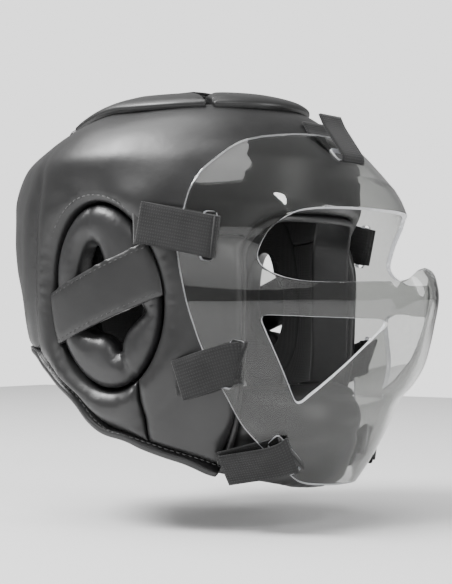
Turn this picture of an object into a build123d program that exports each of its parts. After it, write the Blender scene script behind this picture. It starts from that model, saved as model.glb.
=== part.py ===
from build123d import *
import os
from math import cos, pi, sin, sqrt

os.makedirs("parts", exist_ok=True)

# Boxing headgear with a removable clear face shield.
# Frame: origin on the head's axis at the level of the neck opening, face towards -Y, +Z up,
# the wearer's right hand side on -X. Millimetres.

# ---------------------------------------------------------------- driving dimensions
COVER = 1.4            # leather-look outer skin
LINING = 1.2           # inner fabric
PAD = 24.0             # whole thickness of a pad, skin to lining
FOAM_IN = PAD - LINING
BINDING = 3.0          # edge binding round the openings
STRAP = 1.8            # hook-and-loop webbing
STRAP_WIDTH = 25.0
PATCH = 1.2            # sewn loop patch
AIR = 0.4              # play between pieces that come apart
PLAY = 0.05            # sewn pieces on a curved surface
SHIELD = 3.5           # polycarbonate wall
FAR = 300.0            # longer than the object, for cutting prisms

FACE_HALF = 58.0       # half width of the face opening
BROW = 177.0           # height of its top edge
FACE_CORNER = 22.0
FACE_BACK = -30.0      # the face opening's prism ends here, inside the head space
SEAM_BROW = 168.0      # seam between the forehead pad and the pads below it
SEAM_REAR = 38.0       # vertical seam in front of the back pads
SEAM_CHEEK = -36.0     # seam between the cheek pad and the ear pad
REAR_GAP = 8.0         # adjustable gap between the two back pads

EAR = (-12.0, 131.0)   # centre of the ear recess, in side view
EAR_SIZE = (41.0, 59.0)
EAR_LEAN = 7.0         # its top leans back
EAR_GROOVE = 3.5
EAR_HOLE = (22.0, 35.0)
EAR_SINK = 7.2         # the ear pad starts this deep
EAR_BASE = 18.5        # and widens to the recess wall here
EAR_SPLIT = -16.0      # seam between the ear pad's two halves
EAR_BAND_SINK = 1.0    # the band across the ear starts this deep

CROWN_CENTRE = -8.0    # middle of the crown opening, along Y
CROWN_HOLE = (50.0, 62.0)
CROWN_PANEL = (68.0, 85.0)
CROWN_PANEL_CENTRE = -1.0
CROWN_THICK = 6.0
CROWN_SLIT = 3.0
CROWN_CUT = 150.0      # cuts through the crown start at this height

# height, half width, reach to the front, reach to the back, share of an inset that goes downwards
HEAD = [
    (0, 72, 96, 78, 0.0),
    (30, 86, 104, 92, 0.0),
    (60, 97, 108, 96, 0.0),
    (100, 105, 109, 99, 0.0),
    (150, 106, 109, 113, 0.0),
    (172, 106, 111, 115, 0.0),
    (190, 106, 119, 115, 0.1),
    (212, 102, 118, 106, 0.35),
    (227, 95, 108, 82, 0.6),
    (238, 84, 100, 60, 0.75),
    (247, 68, 88, 38, 0.9),
    (252.5, 52, 74, 22, 0.97),
    (256, 34, 52, 8, 1.0),
]

# height, half width, reach to the front, roundness of the section, for the chin guard and the shield
CHIN_LEVELS = [
    (12, 58.5, 106, 2.2),
    (18, 61, 116, 2.2),
    (28, 63, 120, 2.2),
    (42, 65, 124, 2.35),
    (56, 66, 125, 2.5),
    (66, 66, 123, 2.5),
    (73, 65, 117, 2.5),
    (77, 64, 109, 2.5),
]
SHIELD_LEVELS = [
    (12, 60, 122, 2.2),
    (21, 69.5, 128, 2.15),
    (30, 78, 134, 2.1),
    (50, 89, 146, 2.0),
    (68, 94, 156, 1.9),
    (92, 98, 174, 1.8),
    (113, 100, 182, 1.75),
    (131, 102, 185, 1.75),
    (142, 102, 183, 1.8),
    (150, 102, 178, 1.9),
    (165, 102, 160, 2.3),
    (180, 102, 153, 2.5),
    (193, 102, 147, 2.5),
    (205, 99, 139, 2.4),
    (217, 94, 129, 2.3),
    (228, 86, 118, 2.3),
    (238, 76, 107, 2.3),
]


# ---------------------------------------------------------------- helpers
def save(name, *pieces):
    """Write one node; several pieces stay separate solids."""
    solids = [s for piece in pieces for s in piece.solids()]
    shape = solids[0] if len(solids) == 1 else Compound(children=solids)
    export_step(shape, f"parts/{name}.step")


def mirrored(piece):
    return mirror(piece, about=Plane.YZ)


def side_prism(outline, x0=-FAR, x1=FAR):
    """Prism along X over a closed face drawn as (y, z)."""
    return extrude(Plane.YZ.offset(x0) * outline, amount=x1 - x0)


def front_prism(outline, y0, y1):
    """Prism along Y over a face drawn as (x, z)."""
    plane = Plane(origin=(0, y0, 0), x_dir=(1, 0, 0), z_dir=(0, -1, 0))
    return extrude(plane * outline, amount=-(y1 - y0))


def box(x0, x1, y0, y1, z0, z1):
    centre = ((x0 + x1) / 2, (y0 + y1) / 2, (z0 + z1) / 2)
    return Pos(*centre) * Box(x1 - x0, y1 - y0, z1 - z0)


def ellipse_prism(grow=0.0, size=EAR_SIZE, x0=-FAR, x1=0.0):
    outline = Pos(*EAR) * Rot(0, 0, -EAR_LEAN) * Ellipse(size[0] + grow, size[1] + grow)
    return side_prism(outline, x0, x1)


def head(inset):
    """The padded body's surface moved inwards by inset, as a solid."""
    sections = []
    for z, half, front, back, drop in HEAD:
        level = Plane.XY.offset(z - drop * inset)
        across = inset * sqrt(1 - min(drop, 0.98) ** 2)
        rear_half = EllipticalCenterArc((0, 0), half - across, back - across, 0, arc_size=180)
        face_half = EllipticalCenterArc((0, 0), half - across, front - across, 180, arc_size=180)
        sections.append(level * make_face(Wire([rear_half, face_half])))
    return loft(sections)


def layer(outer, inner):
    return head(outer) - head(inner)


def bowed(levels, inset):
    """A surface bowed round the face, moved inwards by inset and closed by a flat back."""
    sections = []
    steps = 16
    for z, half, front, power in levels:
        a = half - inset
        b = front - inset
        points = []
        for i in range(steps + 1):
            angle = pi * i / steps
            x = a * cos(angle)
            across = min(1.0, abs(x) / a)
            points.append((x, -b * (1 - across ** power) ** (1 / power)))
        rim = Spline(*points, tangents=[(0, -1), (0, 1)])
        back = Line(points[-1], points[0])
        sections.append(Plane.XY.offset(z) * make_face(Wire([rim, back])))
    return loft(sections)


def unit(v):
    return Vector(*v).normalized()


def slab(points, along, width, thick=STRAP):
    """Webbing: a strip through 3-D centre points, width measured along the given direction."""
    across = unit(along)
    first = Vector(*points[0])
    run = (Vector(*points[-1]) - first).normalized()
    across = (across - run * across.dot(run)).normalized()
    plane = Plane(origin=first, x_dir=run, z_dir=across)
    flat = [plane.to_local_coords(Vector(*p)) for p in points]
    flat = [(p.X, p.Y) for p in flat]
    upper = []
    lower = []
    for i, (u, v) in enumerate(flat):
        before = flat[max(i - 1, 0)]
        after = flat[min(i + 1, len(flat) - 1)]
        du, dv = after[0] - before[0], after[1] - before[1]
        size = sqrt(du * du + dv * dv)
        nu, nv = -dv / size * thick / 2, du / size * thick / 2
        upper.append((u + nu, v + nv))
        lower.append((u - nu, v - nv))
    outline = make_face(Polyline(*upper, *reversed(lower), close=True))
    return extrude(plane * outline, amount=width / 2, both=True)


# ---------------------------------------------------------------- padded body
bottom_line = [(130, 97), (60, 95), (38, 87), (22, 76), (8, 66), (-2, 53), (-12, 46), (-30, 41),
               (-50, 34), (-64, 29), (-84, 20), (-130, 8)]


def above_edge(rise=0.0):
    """Everything above the slanting lower edge, seen from the side."""
    points = [(y, z + rise) for y, z in bottom_line]
    edge = Spline(*points)
    sides = Polyline(points[-1], (-FAR, points[-1][1]), (-FAR, FAR), (FAR, FAR),
                     (FAR, points[0][1]), points[0])
    return side_prism(make_face(Wire([edge, *sides.edges()])))


def face_prism(grow=0.0):
    """The face opening, open at the bottom."""
    half = FACE_HALF + grow
    top = BROW + grow
    outline = Pos(0, (top - FAR) / 2) * RectangleRounded(2 * half, top + FAR, FACE_CORNER + grow)
    return front_prism(outline, -FAR, FACE_BACK)


crown_hole = Pos(0, CROWN_CENTRE, CROWN_CUT) * extrude(Ellipse(*CROWN_HOLE), amount=FAR)
ear_right = ellipse_prism()
ears = [ear_right, mirrored(ear_right)]
rear_slot = box(-REAR_GAP / 2, REAR_GAP / 2, SEAM_REAR, FAR, 0, FAR)

body_above = above_edge(BINDING)
face_wide = face_prism(BINDING)


def pad_layer(outer, inner):
    shell = layer(outer, inner) & body_above
    shell = shell - face_wide - crown_hole - rear_slot
    for ear in ears:
        shell = shell - ear
    return shell


low, high = SEAM_BROW, FAR
regions = {
    "forehead": box(-FAR, FAR, -FAR, SEAM_REAR, low, high),
    "cheek_right": box(-FAR, 0, -FAR, SEAM_CHEEK, 0, low),
    "cheek_left": box(0, FAR, -FAR, SEAM_CHEEK, 0, low),
    "ear_side_right": box(-FAR, 0, SEAM_CHEEK, SEAM_REAR, 0, low),
    "ear_side_left": box(0, FAR, SEAM_CHEEK, SEAM_REAR, 0, low),
    "back_right": box(-FAR, 0, SEAM_REAR, FAR, 0, high),
    "back_left": box(0, FAR, SEAM_REAR, FAR, 0, high),
}
layers = {
    "cover": pad_layer(0.0, COVER),
    "foam": pad_layer(COVER, FOAM_IN),
    "lining": pad_layer(FOAM_IN, PAD),
}
for place, region in regions.items():
    for kind, shell in layers.items():
        save(f"{place}_{kind}", shell & region)

# edge bindings: thin strips that close the pads along the lower edge and round the face
body = layer(0.0, PAD)
lower_strip = (body & above_edge(0.0)) - body_above - face_wide - rear_slot
save("lower_edge_binding", lower_strip)
face_strip = ((body & above_edge(0.0)) & face_wide) - face_prism(0.0)
save("face_edge_binding", face_strip)

# ---------------------------------------------------------------- ear protectors
ear_outer = ellipse_prism(-EAR_GROOVE)
ear_hole = ellipse_prism(0.0, EAR_HOLE)
ear_pad = (layer(EAR_SINK, FOAM_IN) & ear_outer) + (layer(EAR_BASE, FOAM_IN) & ear_right)
ear_pad = ear_pad - ear_hole
ear_front = ear_pad & box(-FAR, 0, -FAR, EAR_SPLIT, 0, FAR)
ear_rear = ear_pad & box(-FAR, 0, EAR_SPLIT, FAR, 0, FAR)
band_outline = make_face(Polyline((60, 122.5), (-80, 180), (-80, 142), (60, 85), close=True))
ear_band = layer(EAR_BAND_SINK, EAR_SINK - AIR) & side_prism(band_outline, -FAR, 0) & ear_right
for name, piece in (("ear_pad_front", ear_front), ("ear_pad_rear", ear_rear), ("ear_band", ear_band)):
    save(f"{name}_right", piece)
    save(f"{name}_left", mirrored(piece))

# ---------------------------------------------------------------- crown
crown = layer(-CROWN_THICK, 0.0)
crown = crown & (Pos(0, CROWN_PANEL_CENTRE, CROWN_CUT) * extrude(Ellipse(*CROWN_PANEL), amount=FAR))
for turn in (45, -45):
    slit = Pos(0, CROWN_CENTRE, CROWN_CUT) * Rot(0, 0, turn) * Box(FAR, CROWN_SLIT, FAR)
    crown = crown - slit
for piece in crown.solids():
    x, y = piece.center().X, piece.center().Y - CROWN_CENTRE
    if abs(x) > abs(y):
        name = "right" if x < 0 else "left"
    else:
        name = "front" if y < 0 else "back"
    save(f"crown_flap_{name}", piece)

crown_top = HEAD[-1][0] + CROWN_THICK
CROWN_STRAP_HALF = 26.0
CROWN_STRAP_WIDTH = 38.0
strap_z = crown_top + PATCH + AIR + STRAP / 2
CROWN_PATCH_END = -6.0  # the loop patch stops short of the middle
patch_x = (-CROWN_STRAP_HALF, CROWN_PATCH_END)
half_strap = CROWN_STRAP_WIDTH / 2
save("crown_loop_patch", box(*patch_x, CROWN_CENTRE - half_strap, CROWN_CENTRE + half_strap,
                             crown_top + PLAY, crown_top + PATCH))
crown_strap = slab([(CROWN_STRAP_HALF, CROWN_CENTRE, strap_z), (-CROWN_STRAP_HALF, CROWN_CENTRE, strap_z)],
                   (0, 1, 0), CROWN_STRAP_WIDTH)
save("crown_strap", crown_strap)

# ---------------------------------------------------------------- chin guard
CHIN_THICK = 20.0
CHIN_HALF = FACE_HALF - AIR
CHIN_BACK = -62.0      # its ends stop here, beside the cheek pads
chin_front = Polyline((-CHIN_HALF, 24), (-45, 19), (-25, 14), (0, 12), (25, 14), (45, 19), (CHIN_HALF, 24),
                      (CHIN_HALF, FAR), (-CHIN_HALF, FAR), close=True)
chin_region = front_prism(make_face(chin_front), -FAR, CHIN_BACK)
chin_outer = bowed(CHIN_LEVELS, 0.0)
chin_core = bowed(CHIN_LEVELS, COVER)
save("chin_guard_cover", (chin_outer - chin_core) & chin_region)
save("chin_guard_foam", (chin_core - bowed(CHIN_LEVELS, CHIN_THICK)) & chin_region)

# ---------------------------------------------------------------- rear closure
REAR_LOW = 112.0
REAR_HIGH = 152.0
REAR_HALF = 48.0
rear_band = box(-REAR_HALF, REAR_HALF, SEAM_REAR, FAR, REAR_LOW, REAR_HIGH)
save("rear_strap", layer(-PATCH - AIR - STRAP, -PATCH - AIR) & rear_band)
rear_patch = box(-REAR_HALF, -REAR_GAP, SEAM_REAR, FAR, REAR_LOW, REAR_HIGH)
save("rear_loop_patch", layer(-PATCH, 0.0) & rear_patch)

# ---------------------------------------------------------------- face shield
EYE_SLOT_BACK = -90.0  # the eye slot is cut from the front up to here
VENT_CORNER = 3.5
VENT_REACH = 0.7 * FAR  # the vent's cut stops before the other cheek

rim_line = [(-70.7, 182), (-68.6, 171), (-66, 158), (-67.4, 140), (-73.3, 113), (-78.6, 97),
            (-87.4, 75), (-95, 55), (-102.6, 41), (-109, 27)]
top_line = [(-114, 232), (-106, 232), (-98.6, 229), (-90.6, 225), (-84, 216), (-78, 207), (-75, 198),
            (-70.7, 182)]
rear_rim = Spline(*rim_line)
top_rim = Spline(*top_line)
closing = Polyline(rim_line[-1], (-114, 16), (-FAR, 16), (-FAR, 232), top_line[0])
shield_side = make_face(Wire([top_rim, rear_rim, *closing.edges()]))
shield = (bowed(SHIELD_LEVELS, 0.0) - bowed(SHIELD_LEVELS, SHIELD)) & side_prism(shield_side)

slot_side = [(0, 148), (9, 146), (20, 140.5), (40, 140), (66, 140.2)]
slot_end = [(66, 140.2), (74.5, 147), (78, 157), (74.5, 171.5), (66, 180.5), (52, 184), (24, 185), (0, 185)]
half_slot = [Spline(*slot_side), Spline(*slot_end)]
other_half = [Spline(*[(-x, z) for x, z in reversed(slot_end)]), Spline(*[(-x, z) for x, z in reversed(slot_side)])]
eye_slot = front_prism(make_face(Wire(half_slot + other_half)), -FAR, EYE_SLOT_BACK)
shield = shield - eye_slot

cheek_view = Plane(origin=(-FAR / 2, -FAR / 2, 0), x_dir=(1, -1, 0), z_dir=(-1, -1, 0))
vent = Polyline((25.5, 120.5), (104, 117.5), (50, 65.5), close=True)
vent_face = make_face(vent)
vent_face = fillet(vent_face.vertices(), VENT_CORNER)
vent_cut = extrude(cheek_view * vent_face, amount=-VENT_REACH)
shield = shield - vent_cut - mirrored(vent_cut)

# straps: slot centre on the shield, width direction, outer leaf points, inner leaf points
straps = {
    "upper": {
        "slot": (-90.7, -86, 167), "along": (0, -0.19, 0.98),
        "outer": [(-92.6, -88, 166.5), (-98.2, -68, 171), (-103.8, -44, 176)],
        "inner": [(-85.4, -86, 167), (-89.3, -66, 171.5), (-97.4, -54, 174), (-101.3, -44, 176)],
    },
    "middle": {
        "slot": (-78.3, -94, 91), "along": (0, -0.35, 0.93),
        "outer": [(-78.4, -97.5, 92), (-84.1, -83, 88), (-86.8, -74.5, 85), (-88.8, -62, 81)],
        "inner": [(-72.4, -94, 91), (-76.5, -82, 88), (-79.6, -74.5, 85), (-86.2, -62, 81)],
    },
    "lower": {
        "slot": (-49, -114.5, 36), "along": (0.74, -0.20, -0.64),
        "outer": [(-50.3, -116.5, 35.3), (-54.4, -104.5, 31.4), (-64.8, -78.4, 26.4)],
        "inner": [(-44.7, -111.2, 39.8), (-50, -101, 35.5), (-63.0, -77.0, 28.2)],
    },
}
SLOT_LONG = STRAP_WIDTH + 3.0
SLOT_WIDE = 8.0
SLOT_CUT = 12.0        # a strap slot is cut this far to either side of its centre


def strap_slot(centre, along, outward):
    plane = Plane(origin=centre, x_dir=along, z_dir=outward)
    return extrude(plane * SlotOverall(SLOT_LONG, SLOT_WIDE), amount=SLOT_CUT, both=True)


over_pads = head(-PATCH - AIR)
over_shield = bowed(SHIELD_LEVELS, -AIR)
in_shield = (over_shield - bowed(SHIELD_LEVELS, SHIELD + AIR)) & (Pos(0, AIR, 0) * side_prism(shield_side))

for name, data in straps.items():
    run = Vector(*data["outer"][-1]) - Vector(*data["outer"][0])
    outward = run.cross(Vector(*data["along"]))
    if outward.X > 0:
        outward = outward * -1
    along = outward.cross(run).normalized()
    cut = strap_slot(data["slot"], along, outward.normalized())
    shield = shield - cut - mirrored(cut)
    outer = slab(data["outer"], data["along"], STRAP_WIDTH) - over_shield - over_pads
    inner = slab(data["inner"], data["along"], STRAP_WIDTH) - in_shield - over_pads
    save(f"strap_{name}_right", outer)
    save(f"strap_{name}_left", mirrored(outer))
    save(f"strap_{name}_tail_right", inner)
    save(f"strap_{name}_tail_left", mirrored(inner))

brow_slot = strap_slot((0, -127, 219), (1, 0, 0), (0, -0.7, 0.7))
shield = shield - brow_slot
brow_outer = slab([(0, -130.4, 218.2), (0, -117.2, 233.6), (0, -103, 245)], (1, 0, 0), STRAP_WIDTH)
brow_outer = brow_outer - over_shield
brow_inner = slab([(0, -123.6, 216.3), (0, -111, 228.5), (0, -105.4, 234.2), (0, -101.2, 241)], (1, 0, 0),
                  STRAP_WIDTH)
brow_inner = brow_inner - in_shield - over_pads
save("strap_brow", brow_outer)
save("strap_brow_tail", brow_inner)
save("face_shield", shield)

# loop patches sewn to the pads where the straps end
patch_skin = layer(-PATCH, 0.0)
patches = []
for y, z, deep, tall in ((-45, 176, 16, 26), (-62, 81, 16, 28), (-78, 28, 12, 12)):
    frame_box = box(-FAR, -FACE_HALF, y - deep / 2, y + deep / 2, z - tall / 2, z + tall / 2)
    patch = patch_skin & frame_box
    patches += [patch, mirrored(patch)]
patches.append(patch_skin & box(-13, 13, -FAR, -60, 234, 242))
save("loop_patches", *patches)
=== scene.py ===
from math import ceil, cos, hypot, pi, radians, sin, sqrt

import bmesh
import bpy
import numpy as np
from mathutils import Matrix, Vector
from mathutils.geometry import delaunay_2d_cdt
from mathutils.kdtree import KDTree


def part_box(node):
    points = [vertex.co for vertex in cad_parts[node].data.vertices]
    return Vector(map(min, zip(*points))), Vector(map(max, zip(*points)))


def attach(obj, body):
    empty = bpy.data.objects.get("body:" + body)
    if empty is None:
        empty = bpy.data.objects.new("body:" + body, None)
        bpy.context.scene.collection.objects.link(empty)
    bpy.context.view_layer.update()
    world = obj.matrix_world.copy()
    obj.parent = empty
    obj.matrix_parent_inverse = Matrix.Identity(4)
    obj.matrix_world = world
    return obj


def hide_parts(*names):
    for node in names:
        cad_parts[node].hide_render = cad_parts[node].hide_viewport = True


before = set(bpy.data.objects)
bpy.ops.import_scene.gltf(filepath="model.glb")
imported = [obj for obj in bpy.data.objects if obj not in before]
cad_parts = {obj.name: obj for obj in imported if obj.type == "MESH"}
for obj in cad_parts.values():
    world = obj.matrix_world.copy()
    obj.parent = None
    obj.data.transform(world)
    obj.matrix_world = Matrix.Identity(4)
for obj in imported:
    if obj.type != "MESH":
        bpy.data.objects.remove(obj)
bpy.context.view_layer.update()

# Metres, in the frame of the CAD model: the face looks towards -Y, the wearer's right is -X.
MM = 0.001
RIGHT, LEFT = -1, 1
SIDES = ((RIGHT, "right"), (LEFT, "left"))

# ---------------------------------------------------------------- sizes, mm
PAD = 24.0               # whole thickness of a pad, skin to lining
PAD_LINING = 2.1         # the lining is this deep from the inner side
JOIN = 0.25              # half gap left at a seam between two pads
TAPE_HIGH = 3.0          # the binding's height below the pads
FACE_HALF = 58.0         # half width of the face opening
BROW = 177.0             # height of its top edge
FACE_CORNER = 22.0
SEAM_BROW = 168.0        # seam between the head panel and the cheek pads, as a height
SEAM_REAR = 38.0         # crease in the side, as a place along Y
SEAM_CHEEK = -36.0       # seam between the head panel and the cheek pads, along Y
REAR_GAP = 8.0           # gap between the two back halves
EAR = (-12.0, 131.0)     # centre of the ear recess, in side view
EAR_SIZE = (41.0, 59.0)
EAR_LEAN = 7.0           # its top leans back, degrees
EAR_PLAY = 1.2           # the cushion is this much smaller all round
EAR_HOLE = (21.0, 34.0)
CROWN_CENTRE = -8.0
CROWN_HOLE = (50.0, 62.0)
CROWN_PANEL = (68.0, 85.0)
CROWN_PANEL_CENTRE = -1.0
CROWN_THICK = 6.0
CROWN_SLIT = 3.0
SHIELD = 3.5             # polycarbonate wall
STRAP_WIDTH = 25.0
CHIN_HALF = 57.2
CHIN_THICK = 20.0
CHIN_BACK = -62.0        # the chin pad's ends

# height, half width, reach to the front, reach to the back
HEAD = np.array([
    (0, 72, 96, 78), (30, 86, 104, 92), (60, 97, 108, 96), (100, 105, 109, 99), (150, 106, 109, 113),
    (172, 106, 111, 115), (190, 106, 119, 115), (212, 102, 118, 106), (227, 95, 108, 82),
    (238, 84, 100, 60), (247, 68, 88, 38), (252.5, 52, 74, 22), (256, 34, 52, 8), (256.5, 3, 5, 2),
], float)

# height, half width, reach to the front, roundness of the section
SHIELD_LEVELS = np.array([
    (12, 60, 122, 2.2), (30, 78, 134, 2.1), (50, 89, 146, 2.0), (68, 94, 156, 1.9), (92, 98, 174, 1.8),
    (113, 100, 182, 1.75), (131, 102, 185, 1.75), (142, 102, 183, 1.8), (150, 102, 178, 1.9),
    (165, 102, 160, 2.3), (180, 102, 153, 2.5), (193, 102, 147, 2.5), (205, 99, 139, 2.4),
    (217, 94, 129, 2.3), (228, 86, 118, 2.3), (238, 76, 107, 2.3),
], float)


# ---------------------------------------------------------------- curves and surfaces
def hump(distance, width):
    """A soft bump: 1 at no distance, falling off over the width."""
    return np.exp(-(distance / width) ** 2)


def ramp(distance, width):
    """A soft step: 0 well below, 1/2 at no distance, 1 well above."""
    return 1 / (1 + np.exp(-distance / width))


def smooth_slopes(x, y):
    """Slopes of a curve through (x, y) that doesn't overshoot between its points."""
    h = np.diff(x)
    d = np.diff(y) / h
    m = np.zeros(len(x))
    m[0], m[-1] = d[0], d[-1]
    for i in range(1, len(x) - 1):
        if d[i - 1] * d[i] > 0:
            w0, w1 = 2 * h[i] + h[i - 1], h[i] + 2 * h[i - 1]
            m[i] = (w0 + w1) / (w0 / d[i - 1] + w1 / d[i])
    return m


def make_curve(x, y):
    """A smooth curve through (x, y), as a function."""
    x, y = np.asarray(x, float), np.asarray(y, float)
    m = smooth_slopes(x, y)

    def value(at):
        at = np.clip(np.asarray(at, float), x[0], x[-1])
        i = np.clip(np.searchsorted(x, at) - 1, 0, len(x) - 2)
        h = x[i + 1] - x[i]
        s = (at - x[i]) / h
        a = (1 + 2 * s) * (1 - s) ** 2
        b = s * (1 - s) ** 2
        c = s * s * (3 - 2 * s)
        d = s * s * (s - 1)
        return a * y[i] + b * h * m[i] + c * y[i + 1] + d * h * m[i + 1]
    return value


LEVELS = np.arange(len(HEAD), dtype=float)
head_z, head_half, head_front, head_back = (make_curve(LEVELS, HEAD[:, k]) for k in range(4))
FINE = np.linspace(0, LEVELS[-1], 2601)
FINE_Z = head_z(FINE)


def level_of(z):
    """Level of the padded body, as a row number of HEAD with fractions, at height z."""
    return np.interp(z, FINE_Z, FINE)


def head_raw(phi, t):
    """Point on the padded body: phi 0 is the face, positive towards -X; t is the level."""
    c, s = np.cos(phi), np.sin(phi)
    reach = np.where(c > 0, head_front(t), head_back(t))
    return np.stack([-head_half(t) * s, -reach * c, head_z(t)], -1)


def head_point(phi, t, inset=0.0):
    """Point on the padded body, moved inwards by inset."""
    phi, t = np.asarray(phi, float), np.asarray(t, float)
    step = 0.004
    top = LEVELS[-1]
    across = head_raw(phi + step, t) - head_raw(phi - step, t)
    t0, t1 = np.clip(t - 0.03, 0, top), np.clip(t + 0.03, 0, top)
    up = head_raw(phi, t1) - head_raw(phi, t0)
    n = np.cross(up, across)
    n /= np.linalg.norm(n, axis=-1, keepdims=True) + 1e-12
    inset = np.asarray(inset, float)[..., None]
    return head_raw(phi, t) - n * inset


def from_side(side, y, z):
    """Chart place of the body's point at this y and z."""
    t = level_of(z)
    y = np.asarray(y, float)
    reach = np.where(y < 0, head_front(t), head_back(t))
    return -side * np.arccos(np.clip(-y / reach, -1, 1)), t


def from_front(x, z):
    """Chart place of the face side's point at this x and z."""
    t = level_of(z)
    return np.arcsin(np.clip(-np.asarray(x, float) / head_half(t), -1, 1)), t


def from_top(x, y):
    """Chart place of the dome's point above this x and y."""
    x, y = np.atleast_1d(x).astype(float), np.atleast_1d(y).astype(float)
    low = np.full(x.shape, 4.0)
    high = np.full(x.shape, LEVELS[-1])
    for _ in range(40):
        mid = (low + high) / 2
        reach = np.where(y < 0, head_front(mid), head_back(mid))
        inside = (x / head_half(mid)) ** 2 + (y / reach) ** 2 < 1
        low, high = np.where(inside, mid, low), np.where(inside, high, mid)
    reach = np.where(y < 0, head_front(low), head_back(low))
    return np.arctan2(-x / head_half(low), -y / reach), low


shield_half, shield_front, shield_power = (
    make_curve(SHIELD_LEVELS[:, 0], SHIELD_LEVELS[:, k]) for k in (1, 2, 3))


def shield_raw(w, z):
    """Point on the shield: w 0 is the middle of the face, positive towards -X."""
    a, b, n = shield_half(z), shield_front(z), shield_power(z)
    s, c = np.sin(w), np.cos(w)
    r = (np.abs(s / a) ** n + np.abs(c / b) ** n + 1e-12) ** (-1 / n)
    return np.stack([-r * s, -r * c, z], -1)


def shield_normal(w, z):
    across = shield_raw(w + 0.004, z) - shield_raw(w - 0.004, z)
    up = shield_raw(w, np.clip(z + 0.5, 12, 238)) - shield_raw(w, np.clip(z - 0.5, 12, 238))
    n = np.cross(up, across)
    return n / np.linalg.norm(n, axis=-1, keepdims=True)


def shield_point(w, z, inset=0.0):
    w, z = np.asarray(w, float), np.asarray(z, float)
    return shield_raw(w, z) - shield_normal(w, z) * np.asarray(inset, float)[..., None]


def spline(points, step=2.0, closed=False):
    """Evenly spaced points of a smooth curve through the given ones, any dimension."""
    p = np.asarray(points, float)
    if closed:
        p = np.vstack([p[-1], p, p[0], p[1]])
    else:
        p = np.vstack([2 * p[0] - p[1], p, 2 * p[-1] - p[-2]])
    out = []
    for i in range(1, len(p) - 2):
        a, b, c, d = p[i - 1:i + 3]
        s = np.linspace(0, 1, 24, endpoint=False)[:, None]
        out.append(0.5 * (2 * b + (c - a) * s + (2 * a - 5 * b + 4 * c - d) * s ** 2
                          + (3 * b - a - 3 * c + d) * s ** 3))
    out.append(p[-2][None] if not closed else out[0][:1])
    return evenly(np.vstack(out), step)


def evenly(points, step):
    """The same route with points at even distances."""
    points = np.asarray(points, float)
    gaps = np.linalg.norm(np.diff(points, axis=0), axis=1)
    along = np.concatenate([[0], np.cumsum(gaps)])
    count = max(2, int(round(along[-1] / step)) + 1)
    at = np.linspace(0, along[-1], count)
    return np.stack([np.interp(at, along, points[:, k]) for k in range(points.shape[1])], 1)


# ---------------------------------------------------------------- mesh building
def new_object(name, verts, faces, material, scale=MM):
    """A smooth-shaded mesh object; points are in mm unless scale says otherwise."""
    mesh = bpy.data.meshes.new(name)
    mesh.from_pydata([tuple(v) for v in np.asarray(verts) * scale], [], [tuple(f) for f in faces])
    mesh.validate()
    mesh.update()
    obj = bpy.data.objects.new(name, mesh)
    bpy.context.scene.collection.objects.link(obj)
    mesh.materials.append(material)
    mesh.polygons.foreach_set("use_smooth", [True] * len(mesh.polygons))
    return obj


def recalc(obj):
    """Join doubled points and turn all normals outwards."""
    bm = bmesh.new()
    bm.from_mesh(obj.data)
    bmesh.ops.remove_doubles(bm, verts=bm.verts, dist=1e-6)
    bmesh.ops.recalc_face_normals(bm, faces=bm.faces)
    bm.to_mesh(obj.data)
    bm.free()
    return obj


def inside_many(loop, points):
    """Which of the points lie inside a closed flat loop."""
    loop, points = np.asarray(loop, float), np.asarray(points, float)
    x0, y0 = loop[:, 0], loop[:, 1]
    x1, y1 = np.roll(x0, -1), np.roll(y0, -1)
    slope = (x1 - x0) / np.where(y1 == y0, 1e-12, y1 - y0)
    out = np.zeros(len(points), bool)
    for i in range(0, len(points), 2000):
        x, y = points[i:i + 2000, :1], points[i:i + 2000, 1:]
        crosses = ((y0 > y) != (y1 > y)) & (x < slope * (y - y0) + x0)
        out[i:i + 2000] = crosses.sum(1) % 2 == 1
    return out


def within(loops, points):
    """Which points lie in the first loop and in none of the others."""
    ok = inside_many(loops[0], points)
    for hole in loops[1:]:
        ok &= ~inside_many(hole, points)
    return ok


def kd_tree(points):
    tree = KDTree(len(points))
    for i, p in enumerate(points):
        tree.insert((p[0], p[1], p[2] if len(p) > 2 else 0), i)
    tree.balance()
    return tree


EDGE_ROWS = (0.9, 2.2, 4.2)     # distances of the rows of points along an edge
TRIANGLE_HIGH = 0.866           # height of an even triangle of side 1


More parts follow.
